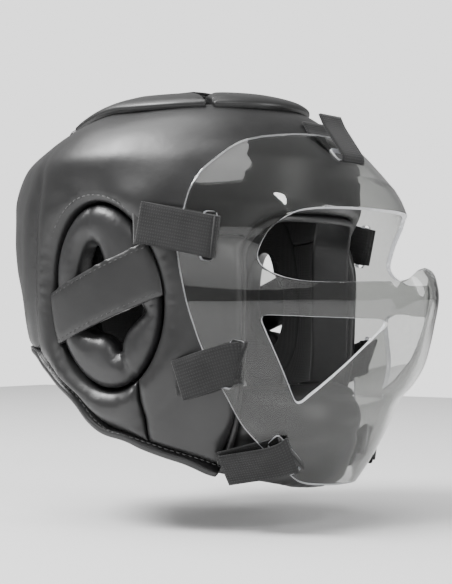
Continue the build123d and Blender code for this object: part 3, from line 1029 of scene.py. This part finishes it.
BINDING_TALL = 5.0       # folded tape, with its overlap on the pads
BINDING_DROP = 0.4
ROW_RISE = 1.1           # the stitches above the pads' lower edge
for side, word in SIDES:
    route = bottom_path(side)
    path = head_point(route[:, 0], route[:, 1], PAD / 2)
    path[:, 2] -= TAPE_HIGH - BINDING_TALL / 2 + BINDING_DROP
    path = evenly(path, 3.0)
    outer = evenly(head_point(route[:, 0], route[:, 1], 0.0), 3.0)[:len(path)]
    path = path[:len(outer)]
    direction = outer - path
    direction[:, 2] = 0
    obj = sweep(f"lower_binding_{word}", path, direction, rounded_bar(PAD + 0.8, BINDING_TALL, 2.0), TAPE)
    finish_piece(obj, "shell", *(["lower_edge_binding"] if word == "right" else []), slot="binding_leather",
                 subdiv=1)
    row, normals = head_row((route[:, 0], route[:, 1]), -0.35)
    stitches(f"lower_binding_stitching_{word}", [(row + (0, 0, ROW_RISE), normals)], "shell",
             THREAD_DARK)

face_route = np.vstack([face_edge_points(RIGHT, 27.0, TAPE_HIGH * 0.5),
                        face_edge_points(LEFT, 27.0, TAPE_HIGH * 0.5)[::-1][1:]])
face_route = spline(face_route[::3], 3.0)
phi, t = from_front(face_route[:, 0], face_route[:, 1])
face_mid = head_point(phi, t, PAD / 2)
face_out = head_point(phi, t, 0.0)
obj = sweep("face_binding", face_mid, face_out - face_mid, rounded_bar(PAD + 0.6, 4.0, 1.9), TAPE)
finish_piece(obj, "shell", "face_edge_binding", slot="binding_leather", subdiv=1)

# ---------------------------------------------------------------- ear protectors
def side_place(side):
    def place(uv, inset):
        phi, t = from_side(side, uv[:, 0], uv[:, 1])
        return head_point(phi, t, inset)
    return place


# the hole left in the cushion ring, as (y, z): rounded above the band, a notch below it
EAR_OPEN = [(-2, 165), (-8, 163), (-12, 156), (-15, 148), (-24, 139), (-35, 131), (-41, 123), (-36, 117.5),
            (-30, 111), (-26.6, 104), (-24.6, 97.5), (-22.6, 97.5), (-19.5, 102.5), (-13, 107.5), (-3, 109.5),
            (5, 114), (8, 123), (8, 135), (7.5, 149), (3.5, 161)]
# two seams across the ring, each from the hole outwards
EAR_SEAMS = (((-23.6, 99), (-33, 78)), ((-2, 165), (-4, 190)))


def ear_stuffing(base, far):
    """Seams across the ring, and the small gathers where it is sewn in."""
    y, z = base[:, 1], base[:, 2]
    _, angle = around_ear(y, z)
    out = 0.14 * np.sin(angle * 42 + np.sin(angle * 7) * 2.0) * np.exp(-far / 4.0)
    out = out + 0.5 * np.sin(angle * 5.0 + 0.8)
    for (y0, z0), (y1, z1) in EAR_SEAMS:
        d = np.array([y1 - y0, z1 - z0])
        d = d / np.linalg.norm(d)
        across = (y - y0) * d[1] - (z - z0) * d[0]
        along = (y - y0) * d[0] + (z - z0) * d[1]
        out = out + (2.6 if z0 < EAR[1] else 0.9) * hump(across, 2.6) * ramp(along + 3, 1.5)
    return out


# the diagonal band's two edges in side view: height at BAND_Y, and rise per mm forwards
BAND_Y = 60.0
BAND_UPPER = (122.5, 0.411)
BAND_LOWER = (85.0, 0.407)


def band_edge(y, edge):
    """Height of one of the band's edges at y."""
    return edge[0] + (BAND_Y - y) * edge[1]


def band_loop():
    """The band's outline: two arcs of the recess, joined by its straight edges."""
    recess = ear_ellipse(tuple(s + 0.4 for s in EAR_SIZE), 0, 360, 1.6)[:-1]
    y, z = recess.T
    in_band = (z < band_edge(y, BAND_UPPER)) & (z > band_edge(y, BAND_LOWER))
    arcs = []
    for first in np.where(in_band & ~np.roll(in_band, 1))[0]:
        rolled, mask = np.roll(recess, -first, 0), np.roll(in_band, -first)
        arcs.append(rolled[:np.where(~mask)[0][0]])
    a, b = arcs
    return clean(np.vstack([a, straight(a[-1], b[0])[1:-1], b, straight(b[-1], a[0])[1:-1]]), 0.8)


for side, word in SIDES:
    ring_out = clean(ear_ellipse(tuple(s - EAR_PLAY for s in EAR_SIZE), 0, 360, 2.0)[:-1], 0.8)
    ring_in = clean(spline(EAR_OPEN, 2.0, closed=True)[:-1], 0.8)
    pad = pad_piece(f"ear_cushion_{word}", [ring_out, ring_in], side_place(side), LEATHER_SHINY,
                    depth=(3.0, 20.5), edge=9.0, puff=2.2, step=2.4, relief=ear_stuffing,
                    back_edge=5.0)
    inflate(pad, 1.6)
    finish_piece(pad, "shell", f"ear_pad_front_{word}", f"ear_pad_rear_{word}", slot="leather", subdiv=1,
                 padded=0.7)

    back_out = clean(ear_ellipse(tuple(s + 4.0 for s in EAR_SIZE), 0, 360, 3.0)[:-1], 0.8)
    back_in = clean(ear_ellipse(EAR_HOLE, 0, 360, 3.0)[:-1], 0.8)
    lining = pad_piece(f"ear_lining_{word}", [back_out, back_in], side_place(side), LINING_CLOTH,
                       depth=(PAD - 0.9, PAD + 0.5), edge=1.5, step=5.0, back_edge=1.5)
    finish_piece(lining, "shell", slot="lining_fabric", subdiv=1)

    band = pad_piece(f"ear_strap_{word}", [band_loop()], side_place(side), LEATHER, depth=(0.2, 4.6),
                     edge=2.6, puff=0.3, step=2.6, back_edge=2.0)
    finish_piece(band, "shell", f"ear_band_{word}", slot="leather", subdiv=1)
    rows = []
    for edge, shift in ((BAND_UPPER, -4.0), (BAND_LOWER, 4.0)):
        ys = np.linspace(26, -50, 40)
        zs = band_edge(ys, edge) + shift
        ok = ((ys - EAR[0]) / (EAR_SIZE[0] - 2)) ** 2 + ((zs - EAR[1]) / (EAR_SIZE[1] - 2)) ** 2 < 1
        rows.append(head_row(from_side(side, ys[ok], zs[ok]), 0.15))
    stitches(f"ear_strap_stitching_{word}", rows, "shell", THREAD_DARK)
    arc = ear_ellipse(tuple(s + 4.0 for s in EAR_SIZE), 150, 40, 2.0)
    stitches(f"ear_recess_stitching_{word}", [head_row(from_side(side, arc[:, 0], arc[:, 1]), 0.2)], "shell",
             THREAD)

# ---------------------------------------------------------------- crown
def crown_sector(middle):
    """One flap in plan: a sector of the panel ellipse between two slits."""
    half_slit = CROWN_SLIT / 2
    a = np.linspace(0, 2 * pi, 241)[:-1]
    outer = np.stack([CROWN_PANEL[0] * np.sin(a), CROWN_PANEL[1] * np.cos(a)], 1)
    outer = outer + (0, CROWN_PANEL_CENTRE - CROWN_CENTRE)
    c, s = cos(middle), sin(middle)
    along = outer[:, 0] * c + outer[:, 1] * s
    beside = -outer[:, 0] * s + outer[:, 1] * c
    # the sector lies between two diagonal slits
    mask = (along - np.abs(beside)) / sqrt(2) > half_slit
    start = np.where(mask & ~np.roll(mask, 1))[0][0]
    rolled, rmask = np.roll(outer, -start, 0), np.roll(mask, -start)
    arc = rolled[rmask]
    tip = np.array([c, s]) * half_slit * sqrt(2)
    loop = np.vstack([arc, straight(arc[-1], tip, 3)[1:], straight(tip, arc[0], 3)[1:-1]])
    return clean(loop + (0, CROWN_CENTRE), 1.0)


CROWN_ROW = 0.962        # the stitches' ellipse as a share of the panel's
for middle, word in ((pi, "right"), (0.0, "left"), (-pi / 2, "front"), (pi / 2, "back")):
    loop = crown_sector(middle)
    flap = pad_piece(f"crown_pad_{word}", [loop], top_place, LEATHER, depth=(-CROWN_THICK, -0.2), edge=3.5,
                     puff=0.6, step=3.0, back_edge=1.5)
    inflate(flap, 0.8)
    finish_piece(flap, "shell", f"crown_flap_{word}", slot="leather", subdiv=1, padded=0.8)
    arc_part = np.array([p for p in loop if ((p[0] / CROWN_PANEL[0]) ** 2
                         + ((p[1] - CROWN_PANEL_CENTRE) / CROWN_PANEL[1]) ** 2) > 0.97])
    hub = np.array((0, CROWN_PANEL_CENTRE))
    row = hub + (arc_part - hub) * CROWN_ROW
    places = from_top(row[:, 0], row[:, 1])
    stitches(f"crown_stitching_{word}", [head_row(places, -CROWN_THICK + 0.35)], "shell",
             THREAD_DARK, length=3.4)


# ---------------------------------------------------------------- webbing
TAPE_THICK = 1.7


def webbing(name, points, across, width, body, node):
    """A strip of hook-and-loop tape along a route, which stands for one CAD node."""
    profile = rounded_bar(width, TAPE_THICK, TAPE_THICK * 0.42, 3)
    obj = sweep(name, spline(points, 1.5), across, profile, WEBBING, uv=True)
    finish_piece(obj, body, node, slot="hook_webbing")


# the right side's straps: width direction, the outer leaf's route and the tail's route under the shield
UPPER = dict(along=(0, -0.19, 0.98),
             outer=[(-90.0, -90.5, 166), (-93.0, -86, 167), (-98.2, -68, 171), (-103.9, -44, 176)],
             inner=[(-92.2, -90.5, 166), (-88.5, -90.5, 166.2), (-85.4, -86, 167), (-89.3, -66, 171.5),
                    (-97.4, -54, 174), (-101.3, -44, 176)])
MIDDLE = dict(along=(0, -0.35, 0.93),
              outer=[(-76.0, -99.5, 92.6), (-79.4, -95.0, 91.6), (-84.3, -83, 88), (-87.0, -74.5, 85),
                     (-89.0, -62, 81)],
              inner=[(-78.0, -99.2, 92.6), (-74.2, -98.6, 92.4), (-72.4, -94, 91), (-76.5, -82, 88),
                     (-79.6, -74.5, 85), (-86.2, -62, 81)])
LOWER = dict(along=(0.74, -0.20, -0.64),
             outer=[(-48.0, -117.6, 36.6), (-50.8, -115.0, 34.8), (-54.6, -104.5, 31.4),
                    (-64.8, -78.4, 26.4)],
             inner=[(-49.6, -117.6, 36.4), (-46.4, -115.2, 38.6), (-44.7, -111.2, 39.8), (-50, -101, 35.5),
                    (-63.0, -77.0, 28.2)])
for side, word in SIDES:
    flip = np.array([1, 1, 1]) if side == RIGHT else np.array([-1, 1, 1])
    for level, data in (("upper", UPPER), ("middle", MIDDLE), ("lower", LOWER)):
        along = np.array(data["along"]) * flip
        webbing(f"strap_leaf_{level}_{word}", np.array(data["outer"]) * flip, along, STRAP_WIDTH,
                f"strap_{level}_{word}", f"strap_{level}_{word}")
        webbing(f"strap_under_{level}_{word}", np.array(data["inner"]) * flip, along, STRAP_WIDTH,
                "shield", f"strap_{level}_tail_{word}")
webbing("strap_leaf_brow",
        [(0, -130.5, 214.6), (0, -129.9, 219), (0, -122.5, 230.0), (0, -117, 238), (0, -113.5, 245)],
        (1, 0, 0), STRAP_WIDTH, "strap_brow", "strap_brow")
webbing("strap_under_brow", [(0, -131.0, 214.2), (0, -127.4, 213.4), (0, -123.6, 216.3), (0, -111, 228.5),
                             (0, -105.4, 234.2), (0, -101.2, 241)],
        (1, 0, 0), STRAP_WIDTH, "shield", "strap_brow_tail")
crown_low, crown_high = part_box("crown_strap")
crown_z = (crown_low.z + crown_high.z) / 2 / MM
webbing("crown_strap_leaf",
        [(26, CROWN_CENTRE, crown_z - 0.8), (12, CROWN_CENTRE, crown_z), (-12, CROWN_CENTRE, crown_z),
         (-26, CROWN_CENTRE, crown_z - 0.8)],
        (0, 1, 0), 38.0, "crown_strap", "crown_strap")
REAR_HEIGHT = 132.0      # middle of the rear strap
REAR_OUT = 2.5           # it lies this far outside the pads
rear_x = np.linspace(48, -48, 13)
rear_level = level_of(REAR_HEIGHT)
rear_share = rear_x / (head_half(rear_level) + REAR_OUT)
rear_y = (head_back(rear_level) + REAR_OUT) * np.sqrt(1 - rear_share ** 2)
webbing("rear_strap_leaf", np.stack([rear_x, rear_y, np.full(13, REAR_HEIGHT)], 1), (0, 0.16, 1), 40.0,
        "rear_strap", "rear_strap")

# loop patches
def patch(name, place, loop, replaced=()):
    obj = pad_piece(name, [loop], place, LOOP, depth=(-1.2, 0.3), edge=0.8, step=2.5, back_edge=0.5)
    finish_piece(obj, "shell", *replaced, slot="loop_pile")
    return obj


def box_loop(a0, a1, b0, b1, step=2.0):
    corners = [(a0, b0), (a1, b0), (a1, b1), (a0, b1), (a0, b0)]
    return clean(np.vstack([straight(a, b, step)[:-1] for a, b in zip(corners, corners[1:])]), 0.5)


for side, word in SIDES:
    patch(f"loop_patch_upper_{word}", side_place(side), box_loop(-53, -37, 163, 189),
          ["loop_patches"] if word == "right" else [])
    patch(f"loop_patch_middle_{word}", side_place(side), box_loop(-71, -58, 72, 91))
    patch(f"loop_patch_lower_{word}", side_place(side), box_loop(-80, -72, 30, 38))


def flap_place(uv, inset):
    return top_place(uv, inset - CROWN_THICK + 0.2)


patch("crown_loop_pad", flap_place, box_loop(-26, -6, -27, 11), ["crown_loop_patch"])
rear_loop = box_loop(8, 46, 113, 151) * (-1, 1)


def rear_place(uv, inset):
    t = level_of(uv[:, 1])
    phi = pi - np.arcsin(np.clip(-uv[:, 0] / head_half(t), -1, 1))
    return head_point(phi, t, inset)


patch("rear_loop_pad", rear_place, rear_loop, ["rear_loop_patch"])

# ---------------------------------------------------------------- chin guard
# height, half width, reach to the front, roundness of the section
CHIN_LEVELS = np.array([
    (12, 58.5, 106, 2.2), (18, 61, 116, 2.2), (28, 63, 120, 2.2), (42, 65, 124, 2.35), (56, 66, 125, 2.5),
    (66, 66, 123, 2.5), (73, 65, 117, 2.5), (77, 64, 109, 2.5),
], float)
chin_half, chin_front, chin_power = (make_curve(CHIN_LEVELS[:, 0], CHIN_LEVELS[:, k]) for k in (1, 2, 3))


def chin_place(uv, inset):
    """The chin guard's surface over flat (x, z)."""
    inset = np.asarray(inset, float)
    z = uv[:, 1]
    a, b, n = chin_half(z), chin_front(z), chin_power(z)
    x = uv[:, 0]
    y = np.minimum(-b * (1 - np.clip(np.abs(x) / a, 0, 0.985) ** n) ** (1 / n), CHIN_BACK)
    slope = np.abs(x / a) ** (n - 1) * np.sign(x) / a * (b / np.maximum(np.abs(y), 20)) ** (n - 1) * b
    norm = np.sqrt(1 + slope ** 2)
    return np.stack([x - slope / norm * inset, np.minimum(y + inset / norm, CHIN_BACK + 2.0), z], 1)


def chin_stuffing(base, far):
    """A fold across the pad and slow dents."""
    x, z = base[:, 0], base[:, 2]
    fold = 1.3 * hump(z - 46 - 3 * np.cos(x * 0.06), 3.0)
    return fold + 0.6 * np.sin(x * 0.09 + z * 0.05)


chin_corners = [(-CHIN_HALF, 24.2), (-45, 19.2), (-25, 14.3), (0, 12.3), (25, 14.3), (45, 19.2),
                (CHIN_HALF, 24.2), (CHIN_HALF, 76.6), (-CHIN_HALF, 76.6)]
chin_loop = clean(round_polygon(chin_corners, 3.5, 2.4), 0.8)
chin = pad_piece("chin_pad", [chin_loop], chin_place, LEATHER, depth=(0.2, CHIN_THICK - 0.2), edge=7.0,
                 puff=0.2, step=3.0, relief=chin_stuffing, back_edge=5.0)
inflate(chin, 1.2)
finish_piece(chin, "chin_guard", "chin_guard_cover", "chin_guard_foam", slot="leather", subdiv=1, padded=0.8)

# ---------------------------------------------------------------- face shield
SHIELD_WIDE = 120.0      # mm of chart for one radian


def shield_chart(points):
    """Chart of the shield from (x, y, z) points: angle from the face, and height."""
    p = np.asarray(points, float)
    return np.stack([np.arctan2(-p[:, 0], -p[:, 1]) * SHIELD_WIDE, p[:, 2]], 1)


def shield_place(uv, inset):
    return shield_point(uv[:, 0] / SHIELD_WIDE, uv[:, 1], inset)


def other_reach(known, z, own, other):
    """How far the shield reaches along one axis at height z, from its place along the other axis."""
    n = shield_power(z)
    return other(z) * np.maximum(0.0, 1 - (np.abs(known) / own(z)) ** n) ** (1 / n)


def shield_from_side(points):
    """Chart points on the wearer's right, from (y, z)."""
    y, z = points.T
    return shield_chart(np.stack([-other_reach(y, z, shield_front, shield_half), y, z], 1))


def shield_from_front(points):
    x, z = points.T
    return shield_chart(np.stack([x, -other_reach(x, z, shield_half, shield_front), z], 1))


# the shield's rear and top edges in side view, as (y, z)
RIM = [(-70.7, 182), (-68.6, 171), (-66, 158), (-67.4, 140), (-73.3, 113), (-78.6, 97), (-87.4, 75),
       (-95, 55), (-102.6, 41), (-109, 27)]
TOP = [(-98.6, 229), (-90.6, 225), (-84, 216), (-78, 207), (-75, 198), (-70.7, 182)]
rim_half = spline(TOP[:-1] + RIM, 2.0)
right_rim = shield_from_side(rim_half)
top_start = right_rim[0]
low_end = right_rim[-1]
top_mid = spline([right_rim[1], top_start, (top_start[0] * 0.5, 231.8), (0, 232)], 2.0)
top_mid = top_mid[top_mid[:, 0] < top_start[0] - 0.5]
low_mid = [right_rim[-2], low_end, (low_end[0] * 0.72, 18.5), (low_end[0] * 0.36, 16.3), (0, 16)]
low_mid = spline(low_mid, 2.0)
low_mid = low_mid[low_mid[:, 0] < low_end[0] - 0.5]
half_outline = np.vstack([top_mid[::-1], right_rim, low_mid])
half_outline = clean(half_outline[half_outline[:, 0] > 0.8], 0.8)
outline = np.vstack([half_outline, half_outline[::-1] * (-1, 1)])
outline = clean(outline, 0.8)

# the eye slot's right half in front view, as (x, z)
slot_half = spline([(0, 148), (9, 146.2), (20, 141), (40, 140), (62, 140.2), (73.5, 146), (78, 157),
                    (74.5, 171.5), (66, 180.5), (52, 184), (24, 185), (0, 185)], 2.0)
slot_loop = np.vstack([slot_half, slot_half[::-1][1:-1] * (-1, 1)])
slot_chart = clean(shield_from_front(slot_loop), 0.8)


def vent_chart():
    """The cheek vent: a rounded triangle, seen from 45 degrees, as distance to the side and height."""
    out = []
    for u, z in round_polygon([(25.5, 120.5), (104, 117.5), (50, 65.5)], 4.0):
        w = np.linspace(0.02, 1.3, 600)
        p = shield_raw(w, np.full(600, z))
        diag = (p[:, 0] - p[:, 1]) / sqrt(2)
        order = np.argsort(diag)
        out.append((float(np.interp(u, diag[order], w[order])) * SHIELD_WIDE, z))
    return np.array(out)


vent_right = vent_chart()
vent_left = vent_right[::-1] * (-1, 1)


def slot_hole(centre, along, long, wide, side=RIGHT):
    """A rounded strap slot on the shield, centred on a point, along a direction."""
    c = shield_chart([centre])[0]
    tip = shield_chart([np.array(centre) + np.array(along) / np.linalg.norm(along) * 5.0])[0]
    u = (tip - c) / np.linalg.norm(tip - c)
    v = np.array([-u[1], u[0]])
    w, z = c[0] / SHIELD_WIDE, c[1]
    stretch = np.linalg.norm(shield_raw(w + 0.01, z) - shield_raw(w - 0.01, z)) / (0.02 * SHIELD_WIDE)
    corners = [c + u * a * long / 2 + v * b * wide / 2 for a, b in ((1, 1), (1, -1), (-1, -1), (-1, 1))]
    loop = round_polygon(corners, min(wide, long) * 0.3)
    loop[:, 0] = c[0] + (loop[:, 0] - c[0]) / stretch
    return loop if side == RIGHT else loop[::-1] * (-1, 1)


holes = [slot_chart, vent_right, vent_left]
for centre, along in (((-90.7, -86, 167), (0, -0.1, 1)), ((-78.3, -94, 91), (0, -0.35, 0.93)),
                      ((-49, -114.5, 36), (0.74, -0.20, -0.64))):
    for side in (RIGHT, LEFT):
        holes.append(slot_hole(centre, along, STRAP_WIDTH + 4.5, 8.5, side))
holes.append(slot_hole((0, -126.4, 219.5), (1, 0, 0), STRAP_WIDTH + 4.0, 7.5))

flat, faces = fill_outline([outline] + holes, 3.0)


def shield_relief(chart):
    """Moulded lines: a brow crease, the nose and its sides, and a step above the chin."""
    p = shield_place(chart, np.zeros(len(chart)))
    x, z = p[:, 0], p[:, 2]
    brow = hump(z - 203 + np.abs(x) * 0.05, 2.4) * np.exp(-(x / 48) ** 4)
    nose = hump(x, 13.0) * hump(z - 133, 17.0)
    side_nose = hump(np.abs(x) - 24 + (z - 130) * 0.3, 5.0) * hump(z - 131, 13.0)
    chin_step = ramp(z - 72, 2.0) * hump(z - 80, 22.0) * np.exp(-(x / 55) ** 4)
    return -(0.8 * brow + 2.6 * nose - 1.5 * side_nose + 2.2 * chin_step)


def face_outwards(obj):
    """Turn an open sheet's normals away from the head, so that its thickness grows inwards."""
    bm = bmesh.new()
    bm.from_mesh(obj.data)
    bm.normal_update()
    if sum(f.normal.xy.dot(f.calc_center_median().xy) * f.calc_area() for f in bm.faces) < 0:
        bmesh.ops.reverse_faces(bm, faces=bm.faces)
    bm.to_mesh(obj.data)
    bm.free()


obj = recalc(new_object("shield_clear", shield_place(flat, shield_relief(flat)), faces, CLEAR))
face_outwards(obj)
wall = obj.modifiers.new("wall", "SOLIDIFY")
wall.thickness = SHIELD * MM
wall.offset = -1.0
wall.use_even_offset = False
wall.use_quality_normals = True
# the wall's rim gets the pale edge material, a painted highlight
obj.data.materials.append(CLEAR_EDGE_PAINTED_HIGHLIGHT)
wall.material_offset_rim = 1
round_over = obj.modifiers.new("round", "BEVEL")
round_over.width = 1.1 * MM
round_over.segments = 3
round_over.limit_method = "ANGLE"
round_over.angle_limit = radians(50)
finish_piece(obj, "shield", "face_shield", slot="polycarbonate", subdiv=0)
obj.visible_shadow = False

# ---------------------------------------------------------------- floor, light and camera
def floor_material(name):
    """Pale, matt and very slightly uneven."""
    mat, tree, shader = node_material(name)
    coords = add(tree, "ShaderNodeTexCoord").outputs["Object"]
    soft = noise(tree, coords, 3.0, 2.0)
    tree.links.new(tint(tree, soft, (0.86, 0.86, 0.86), (0.8471, 0.8471, 0.8471)),
                   shader.inputs["Base Color"])
    shader.inputs["Roughness"].default_value = 0.7
    return mat


FLOOR_LEVEL = -0.012
FLOOR_HALF = 1.5
floor_corners = [(x, y, FLOOR_LEVEL) for x, y in ((-FLOOR_HALF, -FLOOR_HALF), (FLOOR_HALF, -FLOOR_HALF),
                                                  (FLOOR_HALF, FLOOR_HALF), (-FLOOR_HALF, FLOOR_HALF))]
floor = new_object("floor", floor_corners, [(0, 1, 2, 3)], floor_material("floor_pale"), scale=1.0)

world = bpy.data.worlds.new("studio")
bpy.context.scene.world = world
world.use_nodes = True
backdrop = world.node_tree.nodes["Background"]
backdrop.inputs["Color"].default_value = (1, 1, 1, 1)
studio = world.node_tree


def combine(operation, first, second):
    """A maths node on two values of the world's node tree."""
    node = add(studio, "ShaderNodeMath", operation=operation, use_clamp=operation == "SUBTRACT")
    studio.links.new(first, node.inputs[0])
    studio.links.new(second, node.inputs[1])
    return node.outputs[0]


# the backdrop is bright where it is seen, directly or through the shield, and dimmer as a light
SEEN_LEVEL = 1.9
LIGHT_LEVEL = 0.42
path = add(studio, "ShaderNodeLightPath").outputs
bounced = combine("ADD", path["Diffuse Depth"], path["Glossy Depth"])
through = combine("SUBTRACT", path["Is Transmission Ray"], bounced)
seen = combine("MAXIMUM", path["Is Camera Ray"], through)
studio.links.new(spread(studio, seen, LIGHT_LEVEL, SEEN_LEVEL, 0.0, 1.0), backdrop.inputs["Strength"])

centre = Vector((0, -0.02, 0.14))


def softbox(name, place, size, power):
    light = bpy.data.lights.new(name, "AREA")
    light.shape = "ELLIPSE"
    light.size, light.size_y = size
    light.energy = power
    obj = bpy.data.objects.new(name, light)
    obj.location = place
    obj.rotation_euler = (centre - Vector(place)).to_track_quat("-Z", "Y").to_euler()
    bpy.context.scene.collection.objects.link(obj)


VIEW = radians(54.0)     # the camera stands this far round to the wearer's right
DISTANCE = 1.05
back = Vector((-sin(VIEW), -cos(VIEW), 0))
right_hand = Vector((cos(VIEW), -sin(VIEW), 0))


def stand(across, towards, up):
    """A place given from the camera's side of the object: across to its right, towards it, and up."""
    return tuple(centre + right_hand * across + back * towards + Vector((0, 0, up)))


softbox("key", stand(-0.95, 0.35, 1.35), (0.8, 0.6), 42)
softbox("fill", stand(1.3, 0.7, 0.5), (0.4, 1.0), 8)
softbox("glint", stand(0.4, 1.25, 0.9), (0.2, 0.2), 4)
softbox("top", stand(-1.1, 0.0, 2.5), (3.0, 3.0), 85)

camera_data = bpy.data.cameras.new("camera")
camera_data.lens = 97.1
camera_data.sensor_width = 36.0
camera = bpy.data.objects.new("camera", camera_data)
bpy.context.scene.collection.objects.link(camera)
bpy.context.scene.camera = camera
elevation = radians(-1.0)
away = Vector((-sin(VIEW) * cos(elevation), -cos(VIEW) * cos(elevation), sin(elevation)))
aim = Vector((0, 0, 0.136)) + right_hand * 0.0269
camera.location = aim + away * DISTANCE
camera.rotation_euler = (-away).to_track_quat("-Z", "Y").to_euler()
